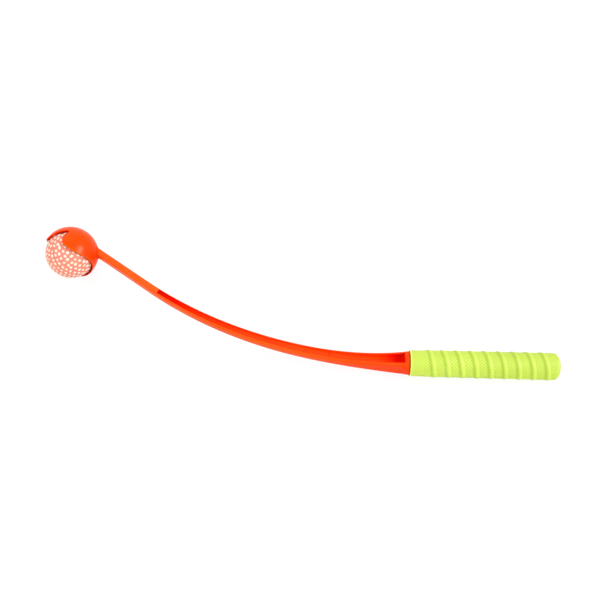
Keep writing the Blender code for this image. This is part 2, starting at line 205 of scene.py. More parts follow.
@dataclass
class Surface:
    """Vertices, quads and triangles of one closed surface, with named values at its vertices.

    Args:
        points: vertex places, one row each.
        quads: four vertex numbers a row.
        triangles: three vertex numbers a row.
        values: named arrays with one number for each vertex.
    """

    points: Floats
    quads: Indices
    triangles: Indices
    values: dict[str, Floats]

    @classmethod
    def tube(cls, rings: Floats, first: Floats, last: Floats, values: dict[str, Floats]) -> "Surface":
        """Joins rings into a tube and closes each end with a fan.

        Args:
            rings: points of shape rings x around x 3.
            first: point that closes the first ring.
            last: point that closes the last ring.
            values: named arrays of shape rings x around.

        Returns:
            The closed surface.
        """
        rows, around = rings.shape[:2]
        here = np.arange(rows * around).reshape(rows, around)
        beside = np.roll(here, -1, axis=1)
        quads = np.stack([here[:-1], beside[:-1], beside[1:], here[1:]], axis=-1).reshape(-1, 4)
        low = np.stack([beside[0], here[0], np.full(around, rows * around)], axis=-1)
        high = np.stack([here[-1], beside[-1], np.full(around, rows * around + 1)], axis=-1)
        named = {}
        for name, table in values.items():
            named[name] = np.concatenate([table.ravel(), [table[0].mean(), table[-1].mean()]])
        points = np.concatenate([rings.reshape(-1, 3), first[None], last[None]])
        return cls(points, quads, np.concatenate([low, high]), named)

    def turned_out(self) -> "Surface":
        """Turns the faces outwards if the sum of their corners' triple products is negative.

        Returns:
            The surface with every face pointing outwards.
        """
        split = np.concatenate([self.quads[:, [0, 1, 2]], self.quads[:, [0, 2, 3]], self.triangles])
        one, two, three = (self.points[split[:, corner]] for corner in range(3))
        if np.einsum("ij,ij->", one, np.cross(two, three)) >= 0.0:
            return self
        return Surface(self.points, self.quads[:, ::-1], self.triangles[:, ::-1], self.values)

    def to_object(self, name: str, place: RestFrame) -> bpy.types.Object:
        """Makes the Blender object, smooth shaded, at the origin with its place in its mesh.

        Args:
            name: the piece's name.
            place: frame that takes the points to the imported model's.

        Returns:
            The new object, linked to the scene.
        """
        made = self.turned_out()
        mesh = bpy.data.meshes.new(name)
        faces = made.quads.tolist() + made.triangles.tolist()
        mesh.from_pydata(place.place(made.points).tolist(), [], faces)
        mesh.shade_smooth()
        for key, table in made.values.items():
            attribute = mesh.attributes.new(key, "FLOAT", "POINT")
            attribute.data.foreach_set("value", table.astype(np.float32))
        return link(bpy.data.objects.new(name, mesh))


class NodeSketch:
    """A node tree under construction: adds nodes, sets their values and links them."""

    def __init__(self, tree: bpy.types.NodeTree) -> None:
        """Starts on an existing tree."""
        self.tree = tree

    def add(self, kind: str, inputs: dict | None = None, **settings: object) -> Node:
        """Adds one node.

        Args:
            kind: the node's type name.
            inputs: values or output sockets by input name or number.
            settings: the node's own settings.

        Returns:
            The new node.
        """
        node = self.tree.nodes.new(kind)
        for key, value in settings.items():
            setattr(node, key, value)
        self.feed(node, inputs or {})
        return node

    def feed(self, node: Node, inputs: dict) -> None:
        """Links sockets, and sets plain values, on a node's inputs.

        Args:
            node: the node that is fed.
            inputs: values or output sockets by input name or number.
        """
        for key, value in inputs.items():
            if isinstance(value, Socket):
                self.tree.links.new(value, node.inputs[key])
            else:
                node.inputs[key].default_value = value

    def maths(self, operation: str, *values: object) -> Socket:
        """Output of a Math node on numbers or sockets."""
        return self.add("ShaderNodeMath", dict(enumerate(values)), operation=operation).outputs[0]

    def noise(self, **inputs: object) -> Socket:
        """Value of a noise texture with these inputs."""
        return self.add("ShaderNodeTexNoise", inputs).outputs[0]

    def carried(self, name: str) -> Socket:
        """Value that the mesh carries under a name."""
        return self.add("ShaderNodeAttribute", attribute_name=name).outputs["Fac"]

    def spread(self, value: Socket, low: float, high: float, start: float = 0.0, end: float = 1.0) -> Socket:
        """Maps a value from low..high to start..end along an S curve, held at both ends.

        Args:
            value: what is mapped.
            low: value that gives the start.
            high: value that gives the end.
            start: result at the low value.
            end: result at the high value.

        Returns:
            The mapped value.
        """
        table = {"Value": value, "From Min": low, "From Max": high, "To Min": start, "To Max": end}
        return self.add("ShaderNodeMapRange", table, interpolation_type="SMOOTHSTEP").outputs["Result"]

    def ramp(self, value: Socket, low: float) -> Socket:
        """Straight line from 0 at the low value to 1 at one more, held at both ends."""
        table = {"Value": value, "From Min": low, "From Max": low + 1.0}
        return self.add("ShaderNodeMapRange", table).outputs["Result"]

    def blend(self, share: object, one: object, two: object) -> Socket:
        """Colour that goes from one to two as share goes from 0 to 1."""
        ends = [end if isinstance(end, Socket) else (*end, 1.0) for end in (one, two)]
        return self.add("ShaderNodeMix", {0: share, 6: ends[0], 7: ends[1]}, data_type="RGBA").outputs[2]


def new_material(name: str) -> tuple[bpy.types.Material, NodeSketch, Node]:
    """A new material, a sketch of its tree and its Principled shader."""
    material = bpy.data.materials.new(name)
    material.use_nodes = True
    return material, NodeSketch(material.node_tree), material.node_tree.nodes["Principled BSDF"]


class EffectGroup:
    """A shader node group shared by the finishes: its name, its sockets and the nodes in it."""

    name = "effect"
    inputs: dict[str, float] = {}
    outputs: tuple[str, ...] = ()

    def __init__(self) -> None:
        """Builds the group."""
        self.tree = bpy.data.node_groups.new(self.name, "ShaderNodeTree")
        new_socket = self.tree.interface.new_socket
        new_socket(name="Vector", in_out="INPUT", socket_type="NodeSocketVector")
        for label, value in self.inputs.items():
            new_socket(name=label, in_out="INPUT", socket_type="NodeSocketFloat").default_value = value
        for label in self.outputs:
            new_socket(name=label, in_out="OUTPUT", socket_type="NodeSocketFloat")
        sketch = NodeSketch(self.tree)
        source = sketch.add("NodeGroupInput").outputs
        sketch.feed(sketch.add("NodeGroupOutput"), self.draw(sketch, source))

    def draw(self, sketch: NodeSketch, source: bpy.types.NodeOutputs) -> dict[str, Socket]:
        """Adds the nodes between the group's inputs and outputs; each effect has its own."""
        raise NotImplementedError

    def use(self, sketch: NodeSketch, vector: Socket, **values: float) -> Node:
        """The group in a material, read at the vector, with values for its other inputs."""
        return sketch.add("ShaderNodeGroup", {"Vector": vector, **values}, node_tree=self.tree)


class MouldGrain(EffectGroup):
    """Fine skin that a mould leaves, and the slow drift of tone across a moulding."""

    name = "mould_grain"
    inputs = {"Pitch": 900.0, "Drift": 14.0}
    outputs = ("Height", "Tone")

    def draw(self, sketch: NodeSketch, source: bpy.types.NodeOutputs) -> dict[str, Socket]:
        """Height is fine noise over coarser noise; Tone is slow noise with a little of the fine.

        Args:
            sketch: the group's tree.
            source: the group's inputs.

        Returns:
            The group's two outputs.
        """
        vector, pitch = source["Vector"], source["Pitch"]
        fine = sketch.noise(Vector=vector, Scale=pitch, Detail=3.0)
        coarse = sketch.noise(Vector=vector, Scale=sketch.maths("MULTIPLY", pitch, 0.23), Detail=2.0)
        slow = sketch.noise(Vector=vector, Scale=source["Drift"], Detail=4.0)
        height = sketch.maths("MULTIPLY_ADD", fine, 0.45, sketch.maths("MULTIPLY", coarse, 0.55))
        tone = sketch.maths("MULTIPLY_ADD", slow, 0.85, sketch.maths("MULTIPLY", fine, 0.15))
        return {"Height": height, "Tone": sketch.spread(tone, 0.3, 0.7)}


class HandlingWear(EffectGroup):
    """Rubbed patches and short scuffs from use."""

    name = "handling_wear"
    inputs = {"Pitch": 60.0, "Share": 0.3}
    outputs = ("Mask",)

    def draw(self, sketch: NodeSketch, source: bpy.types.NodeOutputs) -> dict[str, Socket]:
        """Streaks are noise read on stretched places; the mask is where they and broad patches agree.

        Args:
            sketch: the group's tree.
            source: the group's inputs.

        Returns:
            The mask.
        """
        vector, pitch = source["Vector"], source["Pitch"]
        stretched = sketch.add("ShaderNodeMapping", {"Vector": vector, "Scale": (0.35, 1.6, 1.2)}).outputs[0]
        streaks = sketch.noise(Vector=stretched, Scale=pitch, Detail=8.0, Roughness=0.7)
        patches = sketch.noise(Vector=vector, Scale=sketch.maths("MULTIPLY", pitch, 0.2), Detail=2.0)
        both = sketch.maths("MULTIPLY", sketch.spread(streaks, 0.5, 0.72), sketch.spread(patches, 0.42, 0.66))
        return {"Mask": sketch.maths("MULTIPLY", both, source["Share"])}


@dataclass(frozen=True)
class Finish:
    """What every finish has.

    Args:
        name: the material's name.
        colour: main colour.
        rubbed: colour of scuffs.
        roughness: roughness of the clean surface.
        rubbed_roughness: roughness of scuffs.
        grain_depth: height of the fine skin.
        grain_pitch: how many grains to the metre.
        wear: share of wear.
        sheen: specular level of the surface.
        ior: index of refraction.
        sheen_tint: colour of the sheen where it is seen square on.
        sheen_value: value of the mesh with which the sheen fades, or none.
        sheen_end: where that value leaves no sheen.
        tone_depth: share of the colour that is left where the tone is low.
    """

    name: str
    colour: Triple
    rubbed: Triple
    roughness: float
    rubbed_roughness: float
    grain_depth: float
    grain_pitch: float
    wear: float
    sheen: float
    ior: float
    sheen_tint: Triple = (1.0, 1.0, 1.0)
    sheen_value: str = ""
    sheen_end: float = 1.0
    tone_depth: float = 0.9

    def colour_at(self, sketch: NodeSketch, tone: Socket) -> Socket:
        """Main colour, a little deeper where the tone is low."""
        return sketch.blend(tone, tuple(part * self.tone_depth for part in self.colour), self.colour)

    def sheen_level(self, sketch: NodeSketch) -> Socket | float:
        """Strength of the sheen: the same all over, or fading with a value of the mesh."""
        if not self.sheen_value:
            return self.sheen
        return sketch.spread(sketch.carried(self.sheen_value), 0.0, self.sheen_end, self.sheen, 0.0)

    def build(self, grain: MouldGrain, wear: HandlingWear) -> bpy.types.Material:
        """Makes the material.

        Args:
            grain: the shared grain effect.
            wear: the shared wear effect.

        Returns:
            A material on Object coordinates around one Principled shader.
        """
        material, sketch, shader = new_material(self.name)
        vector = sketch.add("ShaderNodeTexCoord").outputs["Object"]
        skin = grain.use(sketch, vector, Pitch=self.grain_pitch).outputs
        rub = wear.use(sketch, vector, Share=self.wear).outputs["Mask"]
        bump = {"Height": skin["Height"], "Distance": self.grain_depth, "Strength": 1.0}
        looks = {
            "Base Color": sketch.blend(rub, self.colour_at(sketch, skin["Tone"]), self.rubbed),
            "Roughness": sketch.spread(rub, 0.0, 1.0, self.roughness, self.rubbed_roughness),
            "Normal": sketch.add("ShaderNodeBump", bump).outputs[0],
            "Specular IOR Level": self.sheen_level(sketch),
            "Specular Tint": (*self.sheen_tint, 1.0),
            "IOR": self.ior,
        }
        sketch.feed(shader, looks)
        return material


@dataclass(frozen=True)
class MouldedPlastic(Finish):
    """Satin thermoplastic with a faint mould skin, and painted shade and highlight from the mesh.

    The mesh's value sunk paints shade: a deeper red in the channels, under the rim and where walls
    face each other, darker still where hardly any light reaches, and below 0 a highlight on an
    edge. The same painted shade fades the sheen, as though walls that face each other mirrored
    each other and not the room. The sheen of a dyed, satin skin is warm where it is seen square on.

    Args:
        light: painted highlight, the colour of an edge that catches the light, where the
            mesh's value is -1.
        painted_shade_red: painted shade, the colour in the channels and under the rim, at 1.
        painted_dark_shade: painted shade, the colour of faces that hardly any light reaches, at 2.
    """

    light: Triple = (1.0, 0.24, 0.035)
    painted_shade_red: Triple = (1.0, 0.006, 0.0)
    painted_dark_shade: Triple = (0.16, 0.008, 0.003)
    sheen_tint: Triple = (1.0, 0.62, 0.40)
    sheen_value: str = "sunk"

    def colour_at(self, sketch: NodeSketch, tone: Socket) -> Socket:
        """The painted highlight (light), main, painted shade (deep) and darker painted shade (darkest)
        colours in turn as the mesh's value goes from -1 to 2.

        Args:
            sketch: the material's tree.
            tone: the grain's slow drift of tone.

        Returns:
            The colour.
        """
        sunk = sketch.carried("sunk")
        colour = sketch.blend(sketch.ramp(sunk, -1.0), self.light, super().colour_at(sketch, tone))
        colour = sketch.blend(sketch.ramp(sunk, 0.0), colour, self.painted_shade_red)
        return sketch.blend(sketch.ramp(sunk, 1.0), colour, self.painted_dark_shade)


@dataclass(frozen=True)
class GripRubber(Finish):
    """Soft rubber with painted shade in its grooves and inside its front lip, where the sheen is also
    taken away, and a painted highlight on the lip's round.

    Args:
        groove_shade: painted shade, the colour at the foot of the relief.
        gap_shade: painted shade, the colour inside the front lip, where little light comes.
        lip: painted highlight, the colour of the front lip's round.
    """

    groove_shade: Triple = (0.27, 0.49, 0.018)
    gap_shade: Triple = (0.55, 0.10, 0.004)
    lip: Triple = (1.0, 1.0, 0.18)
    sheen_value: str = "gap_shade"
    sheen_end: float = 0.5

    def colour_at(self, sketch: NodeSketch, tone: Socket) -> Socket:
        """Painted shade, from the groove colour to the main colour as the mesh's relief rises, then the
        lip's painted highlight and the gap's painted shade over it.

        Args:
            sketch: the material's tree.
            tone: the grain's slow drift of tone.

        Returns:
            The colour.
        """
        level = sketch.ramp(sketch.carried("relief"), 0.0)
        colour = sketch.blend(level, self.groove_shade, super().colour_at(sketch, tone))
        for name, other in (("lip", self.lip), ("gap_shade", self.gap_shade)):
            colour = sketch.blend(sketch.carried(name), colour, other)
        return colour


@dataclass(frozen=True)
class DottedRubber(Finish):
    """Coral rubber with raised cream dots.

    Args:
        dot: colour of the palest dots.
        warm_dot: colour of the warmest dots.
        ring: colour at the foot of a dot.
    """

    dot: Triple = (1.0, 0.93, 0.83)
    warm_dot: Triple = (1.0, 0.837, 0.5976)
    ring: Triple = (0.94, 0.25, 0.165)

    def colour_at(self, sketch: NodeSketch, tone: Socket) -> Socket:
        """Coral, deeper round the foot of each dot, and cream where the dot's reach is above zero.

        Args:
            sketch: the material's tree.
            tone: the grain's slow drift of tone.

        Returns:
            The colour.
        """
        reach = sketch.carried("dot_reach")
        base = sketch.blend(sketch.spread(reach, -0.5, -0.05), super().colour_at(sketch, tone), self.ring)
        cream = sketch.blend(sketch.carried("dot_tone"), self.dot, self.warm_dot)
        return sketch.blend(sketch.spread(reach, -0.06, 0.26), base, cream)


@dataclass
class BallCup:
    """The lobed cup: a shell of more than half a ball with a notch on each side.

    Angles are from the cup's pole (polar) and round it (bearing, with the finger at 0, the sides
    at 90 and the heel at 180). Tones are painted shade that deepens the colour, and below 0 a
    painted highlight.
    """

    ball_radius: float = 0.0320
    seat_clearance: float = 0.0006
    rim_clearance: float = 0.0003
    wall: float = 0.00219
    bead: float = 0.0004
    bead_length: float = 0.0050
    edge_round: float = 0.0008
    edge_power: float = 0.66
    pole_heading: float = 59.0
    finger_middle_polar: float = 95.5
    finger_polar: float = 103.2
    finger_bearing: float = 45.0
    lobe_polar: float = 104.3
    lobe_bearing: float = 109.0
    heel_polar: float = 87.8
    notch_polar: float = 74.4
    notch_bearing: float = 82.6
    notch_radius: float = 0.0032
    notch_slant: float = 50.0
    slant_length: float = 0.030
    slant_bearing: float = 70.0
    slant_points: int = 400
    notch_points: int = 60
    corner_points: int = 120
    heel_points: int = 300
    lobe_corner: float = 0.0105
    columns: int = 480
    outer_rows: int = 58
    inner_rows: int = 36
    edge_rows: int = 9
    row_power: float = 1.35
    mean_points: int = 9
    rim_draft: float = 0.0006
    notch_draft: float = 0.0029
    draft_angle: float = 24.0
    draft_power: float = 8.0
    # painted shade and light: the tones deepen the colour over the outside, towards the heel, inside the
    # seat, along the rim and at the finger's tip, and the bead gets a painted highlight
    skin_tone: float = 0.15
    heel_tone: float = 0.35
    bead_highlight: float = 0.7
    bead_highlight_length: float = 0.0016
    bead_highlight_bearing: float = 88.0
    seat_tone: float = 0.5
    rim_tone: float = 1.7
    rim_shade: float = 0.0045
    finger_rim: float = 0.35
    finger_end_bearing: float = 80.0
    blend_angle: float = 10.0
    tip_reach: float = 6.0
    sharp_share: float = 0.4

    @property
    def outer_radius(self) -> float:
        """Radius of the outside without its bead."""
        return self.ball_radius + self.seat_clearance + self.wall

    @property
    def edge_lift(self) -> float:
        """How far the round edge stands past the rim's own angle."""
        return math.degrees(self.wall / self.outer_radius) / 4.0

    @property
    def finger(self) -> Floats:
        """Direction square to the pole, on the finger's side."""
        return unit(self.pole_heading + 90.0)

    def direction(self, polar: Floats, bearing: Floats) -> Floats:
        """Unit vectors from the ball's centre: cosine along the pole, sine round it."""
        tilt, turn = np.radians(polar)[..., None], np.radians(bearing)[..., None]
        spoke = np.cos(turn) * self.finger + np.sin(turn) * ACROSS
        return np.cos(tilt) * unit(self.pole_heading) + np.sin(tilt) * spoke

    def angles(self, directions: Floats) -> tuple[Floats, Floats]:
        """Polar angle and bearing of unit vectors, the inverse of direction()."""
        polar = np.arccos(np.clip(directions @ unit(self.pole_heading), -1.0, 1.0))
        return np.degrees(polar), np.degrees(np.arctan2(directions @ ACROSS, directions @ self.finger))

    def rim_polar(self, bearing: Floats) -> Floats:
        """Polar angle of the rim: S curves from the finger's middle to its corners and on to the
        lobes, then half a cosine wave down to the heel.

        Args:
            bearing: bearings from 0 to 180.

        Returns:
            The polar angles.
        """
        corner = smooth_step(bearing / self.finger_bearing)
        near = between(self.finger_middle_polar, self.finger_polar, corner)
        lobe = smooth_step((bearing - self.finger_bearing) / (self.lobe_bearing - self.finger_bearing))
        side = between(self.finger_polar, self.lobe_polar, lobe)
        wave = np.cos(np.pi * (bearing - self.lobe_bearing) / (180.0 - self.lobe_bearing))
        heel = between(self.heel_polar, self.lobe_polar, (1.0 + wave) / 2.0)
        far = np.where(bearing <= self.lobe_bearing, side, heel)
        return np.where(bearing <= self.finger_bearing, near, far)

    def half_outline(self) -> Floats:
        """Outline of the shell's edge from the finger's middle to the heel's middle.

        It follows the rim to the slanted side of the notch, goes down that line, round the
        notch's end, up the lobe's front, round the lobe's corner and along the rim to the heel.

        Returns:
            Unit vectors, one row each, closest together about the notch.
        """
        radius, slant = self.outer_radius, math.radians(self.notch_slant)
        foot = self.notch_radius * np.array([math.cos(slant), -math.sin(slant)])
        rise = np.linspace(0.0, self.slant_length, self.slant_points)[:0:-1, None]
        round_end = self.notch_radius * arc(360.0 - self.notch_slant, 180.0, self.notch_points)
        top = math.radians(self.lobe_polar - self.notch_polar + self.edge_lift) * radius
        corner = np.array([-self.notch_radius - self.lobe_corner, top - self.lobe_corner])
        front = np.linspace([-self.notch_radius, 0.0], [-self.notch_radius, corner[1]], self.notch_points)
        lobe = corner + self.lobe_corner * arc(0.0, 90.0, self.corner_points)
        slope = foot + rise * np.array([math.tan(slant), 1.0])
        flat = np.concatenate([slope, round_end, front[1:], lobe[1:]])
        polar = self.notch_polar + np.degrees(flat[:, 1] / radius)
        bearing = self.notch_bearing - np.degrees(flat[:, 0] / (radius * np.sin(np.radians(polar))))
        inside = (polar <= self.rim_polar(bearing) + self.edge_lift) | (bearing > self.slant_bearing)
        polar, bearing = polar[inside], bearing[inside]
        before = np.linspace(0.0, bearing[0], self.corner_points)[:-1]
        after = np.linspace(bearing[-1], 180.0, self.heel_points)[1:]
        rims = [self.rim_polar(part) + self.edge_lift for part in (before, after)]
        polar = np.concatenate([rims[0], polar, rims[1]])
        return self.direction(polar, np.concatenate([before, bearing, after]))

    def outline(self) -> Floats:
        """Closed outline, evenly spaced, its corners rounded by a short running mean.

        Returns:
            Unit vectors, one row for each column of the shell.
        """
        half, width = self.half_outline(), self.mean_points
        loop = np.concatenate([half, half[-2:0:-1] * np.array([1.0, 1.0, -1.0])])
        fine = self.spaced(loop, self.columns * 4)
        kernel = np.hanning(width + 2)[1:-1]
        padded = np.concatenate([fine[-width:], fine, fine[:width]])
        rounded = [np.convolve(axis, kernel / kernel.sum(), "same") for axis in padded.T]
        return normalised(self.spaced(np.stack(rounded, axis=1)[width:-width], self.columns))

    @staticmethod
    def spaced(loop: Floats, count: int) -> Floats:
        """Spaces the points of a closed loop evenly by its arc length.

        Args:
            loop: points, one row each.
            count: how many points there are afterwards.

        Returns:
            The new points.
        """
        closed = np.concatenate([loop, loop[:1]])
        length = np.concatenate([[0.0], np.cumsum(np.linalg.norm(np.diff(closed, axis=0), axis=1))])
        wanted = np.linspace(0.0, length[-1], count, endpoint=False)
        return np.stack([np.interp(wanted, length, axis) for axis in closed.T], axis=1)

    def inner_radius(self, polar: Floats) -> Floats:
        """The seat follows the ball, then runs straight out: clear radius over sine of the angle."""
        seat = self.ball_radius + self.seat_clearance
        straight = (self.ball_radius + self.rim_clearance) / np.sin(np.radians(np.clip(polar, 45.0, 135.0)))
        return np.where(polar > 90.0, np.maximum(seat, straight), seat)

    def near_rim(self, polar: Floats, bearing: Floats, length: float) -> Floats:
        """An S curve from 0 to 1 over the last length before the rim's own law, which has no notch."""
        apart = np.radians(self.rim_polar(folded(bearing)) - polar) * self.outer_radius
        return 1.0 - smooth_step(apart / length)

    def outside(self, polar: Floats, bearing: Floats) -> tuple[Floats, Floats]:
        """Radius and painted shade of the outside.

        A bead stands up near the rim. The tone deepens the colour a little all over the outside and
        adds painted shade by the square of how near the heel is, (1 - cos(bearing)) / 2 * sin(polar);
        it is less on the bead past the notches, a painted highlight where the bead catches the light.

        Args:
            polar: polar angles.
            bearing: bearings.

        Returns:
            The radius and the tone.
        """
        radius = self.outer_radius + self.bead * self.near_rim(polar, bearing, self.bead_length)
        # painted shade towards the heel, and a painted highlight on the bead past the notches
        heel = (1.0 - np.cos(np.radians(bearing))) / 2.0 * np.sin(np.radians(polar))
        light = smooth_step((folded(bearing) - self.bead_highlight_bearing) / self.blend_angle)
        light = self.bead_highlight * self.near_rim(polar, bearing, self.bead_highlight_length) * light
        return radius, self.skin_tone + self.heel_tone * heel**2 - light

    def surface(self) -> Surface:
        """The shell's whole skin, from its outer pole over the rounded edge to its inner pole.

        Rows run from the pole to the outline. Their bearings go from even spacing at the pole
        to the outline's own, and their polar angles from circles to the outline's. The edge is a
        superellipse across the wall. The wall is drafted, so the seat's side stands out past the
        outer one, most of all in the notches. The rim's painted shade is strongest in the notches, on
        the lobes and within half a tip_reach of the finger's corners, where an S curve starts that
        ends at 1.5; painted shade inside the seat rises towards it.

        Returns:
            The closed surface, with its painted shade at each vertex.
        """
        line, pole = self.outline(), unit(self.pole_heading)
        along = normalised(np.roll(line, -1, axis=0) - np.roll(line, 1, axis=0))
        out = normalised(np.cross(along, line))
        base = normalised(line - out * self.edge_round / self.outer_radius)
        polar, bearing = self.angles(base)
        bearing = np.unwrap(bearing, period=360.0)
        even = np.linspace(0.0, 360.0, self.columns, endpoint=False)
        turned = folded(bearing)
        notched = smooth_step((self.rim_polar(turned) - polar) / self.draft_angle) ** 2
        draft = between(self.rim_draft, self.notch_draft, notched)[:, None] * out
        # painted shade along the rim: strongest in the notches, from the lobes round the heel and at the
        # finger's tip
        sharp = np.maximum(notched, smooth_step((turned - self.finger_end_bearing) / self.blend_angle))
        tip = smooth_step(1.5 - np.abs(turned - self.finger_bearing) / self.tip_reach)
        rim = self.rim_tone * between(self.finger_rim, 1.0, np.maximum(sharp, tip))
        rings, tones = [], []
        for rows, inside in ((self.outer_rows, False), (self.inner_rows, True)):
            share = 1.0 - (1.0 - np.linspace(0.0, 1.0, rows + 1)[1:, None]) ** self.row_power
            pull = smooth_step(share)
            tilt, turn = share * between(90.0, polar, pull), between(even, bearing, pull)
            radius, tone = self.outside(tilt, turn)
            if inside:
                radius = self.inner_radius(tilt)
                left = np.radians(90.0 * (1.0 - share)) * radius
                # painted shade inside the seat, rising to the rim's
                tone = between(self.seat_tone, rim, smooth_step(1.0 - left / self.rim_shade))
            drawn = share[..., None] ** self.draft_power * draft * inside
            rings.append(radius[..., None] * self.direction(tilt, turn) + drawn)
            tones.append(tone)
        cosine, sine = arc(90.0, -90.0, self.edge_rows + 2)[1:-1].T[..., None]
        inward = 0.5 - 0.5 * np.sign(sine) * np.abs(sine) ** self.edge_power
        reach = self.edge_round * np.abs(cosine) ** self.edge_power
        outer, skin = self.outside(polar, bearing)
        radius = between(outer, self.inner_radius(polar), inward)
        edge = radius[..., None] * base + reach[..., None] * out + inward[..., None] * draft
        # painted shade across the rounded edge, from the outside's to the rim's
        deeper = between(skin, rim, smooth_step(inward / between(1.0, self.sharp_share, sharp)))
        shell = np.concatenate([rings[0], edge, rings[1][::-1]])
        tone = np.concatenate([tones[0], deeper, tones[1][::-1]])
        inner_pole = pole * self.inner_radius(np.array(0.0))
        return Surface.tube(shell, pole * self.outer_radius, inner_pole, {"sunk": tone})


@dataclass
class BowedArm:
    """The arm from its root on the cup to the cored handle: straight neck, round bend, channels
    in both sides, flared shoulder and round collar.

    Distances are along the middle line, from the foot of the square dropped on it from the
    ball's centre. A section's depth lies in the plane of the bend and its width across it.
    Tones are painted shade: they deepen the colour where shade falls.
    """

    cup_radius: float = 0.03475
    neck_offset: float = 0.0218
    neck_heading: float = -36.87
    neck_length: float = 0.1176
    neck_start: float = 0.047
    bend_radius: float = 0.542
    bend_angle: float = 35.27
    collar_length: float = 0.0100
    neck_depth: float = 0.0087
    neck_width: float = 0.0095
    root_fillet: float = 0.0045
    bend_depth: float = 0.0154
    bend_width: float = 0.0086
    shoulder_depth: float = 0.0194
    shoulder_width: float = 0.0198
    shoulder_length: float = 0.1400
    collar_radius: float = 0.0138
    collar_round: float = 0.0009
    edge_radius: float = 0.0013
    round_share: float = 0.96
    crown_share: float = 0.55
    edge_share: float = 0.25
    channel_start: float = 0.1336
    channel_end_land: float = 0.0054
    channel_end_slope: float = 0.0007
    hollow_flange: float = 0.13
    outer_flange: float = 0.25
    web_start: float = 0.0052
    web_end: float = 0.0022
    step_place: float = 0.3667
    step_length: float = 0.0006
    step_height: float = 0.0004
    # painted shade across the cross step
    step_tone: float = 0.45
    lip_round: float = 0.00035
    lip_share: float = 0.8
    foot_round: float = 0.0007
    core_radius: float = 0.0118
    core_length: float = 0.1730
    # painted shade at the root fillet, growing towards the handle and more on the underside
    root_tone: float = 0.39
    root_shade: float = 0.5
    skin_tone: float = 0.34
    skin_start: float = 0.30
    under_tone: float = 0.5
    under_share: float = 0.8
    # painted shade in the channels and on their walls
    tone_fade: float = 0.100
    tone_rise: float = 0.036
    tone_least: float = 0.38
    tone_end: float = 1.10
    tone_power: float = 1.6
    start_shade: float = 0.28
    start_fade: float = 0.022
    hollow_wall_tone: float = 1.15
    outer_wall_tone: float = 0.6
    # painted shade on the collar's face by the grip
    collar_tone: float = 0.7
    root_rows: int = 14
    neck_rings: int = 24
    bend_rings: int = 220
    slope_rings: int = 11
    step_rings: int = 9
    flare_rings: int = 26
    collar_rings: int = 6
    edge_points: int = 8
    lip_points: int = 4
    foot_points: int = 5

    @property
    def bend_length(self) -> float:
        """Length of the middle line through the bend."""
        return math.radians(self.bend_angle) * self.bend_radius

    @property
    def shoulder_end(self) -> float:
        """Where the bend stops and the handle starts."""
        return self.neck_length + self.bend_length

    @property
    def collar_end(self) -> float:
        """Where the collar's face is and the grip begins."""
        return self.shoulder_end + self.collar_length

    @property
    def channel_end(self) -> float:
        """Where the channel stops, short of the collar's face."""
        return self.collar_end - self.channel_end_land

    def middle_line(self, distance: Floats) -> tuple[Floats, Floats]:
        """Places and headings of the middle line: straight, a round arc, then straight.

        Args:
            distance: distances along it.

        Returns:
            Places of shape count x 3, and headings in degrees.
        """
        turned = np.clip((distance - self.neck_length) / self.bend_length, 0.0, 1.0) * self.bend_angle
        heading, aside = self.neck_heading + turned, unit(self.neck_heading + 90.0)
        place = self.neck_offset * aside + self.bend_radius * (aside - unit(heading + 90.0))
        place = place + np.minimum(distance, self.neck_length)[:, None] * unit(self.neck_heading)
        return place + np.maximum(distance - self.shoulder_end, 0.0)[:, None] * unit(heading), heading

    def section_size(self, distance: Floats) -> tuple[Floats, Floats, Floats]:
        """Sizes of the section: a line over the bend, a cube law over the shoulder and an S curve
        into the round collar.

        Args:
            distance: distances along the middle line.

        Returns:
            Depth, width and edge radius.
        """
        bowed = np.clip((distance - self.neck_length) / self.bend_length, 0.0, 1.0)
        flared = np.clip(1.0 - (self.shoulder_end - distance) / self.shoulder_length, 0.0, 1.0) ** 3
        rounded = smooth_step((distance - self.shoulder_end) / self.collar_length)
        grown = []
        for neck, bend, shoulder in (
            (self.neck_depth, self.bend_depth, self.shoulder_depth),
            (self.neck_width, self.bend_width, self.shoulder_width),
        ):
            size = between(neck, bend, bowed) + (shoulder - bend) * flared
            grown.append(between(size, 2.0 * self.collar_radius, rounded))
        return *grown, between(self.edge_radius, self.round_share * self.collar_radius, rounded)

    def step_at(self, distance: Floats) -> Floats:
        """The cross step in the web, a mark of the mould: exp(-(d / length)^4) about its place."""
        return np.exp(-(((distance - self.step_place) / self.step_length) ** 4))

    def channel_depth(self, distance: Floats, width: Floats) -> Floats:
        """How far each side is sunk: down to the web between two short S-shaped ends, less a small
        cross step.

        Args:
            distance: distances along the middle line.
            width: section widths there.

        Returns:
            The depths of the channel.
        """
        start_rise = smooth_step((distance - self.channel_start) / self.channel_end_slope)
        end_fall = smooth_step((self.channel_end - distance) / self.channel_end_slope)
        share = np.clip((distance - self.channel_start) / (self.channel_end - self.channel_start), 0.0, 1.0)
        sunk = (width - between(self.web_start, self.web_end, share)) / 2.0
        return sunk * np.minimum(start_rise, end_fall) - self.step_height * self.step_at(distance)

    def channel_tone(self, distance: Floats) -> Floats:
        """Painted shade along the channel: past 1 at its start, easing off as exp(-(d / fade)^power) to
        its lowest share, deepest by the collar along an S curve, and darker across the cross step.

        Args:
            distance: distances along the middle line.

        Returns:
            The tones.
        """
        along = np.clip(distance - self.channel_start, 0.0, None)
        left = np.clip(self.channel_end - distance, 0.0, None)
        start = (1.0 - self.tone_least) * np.exp(-((along / self.tone_fade) ** self.tone_power))
        start = start + self.start_shade * np.exp(-((along / self.start_fade) ** self.tone_power))
        end = (self.tone_end - self.tone_least) * smooth_step(1.0 - left / self.tone_rise)
        return self.tone_least + np.maximum(start, end) + self.step_tone * self.step_at(distance)

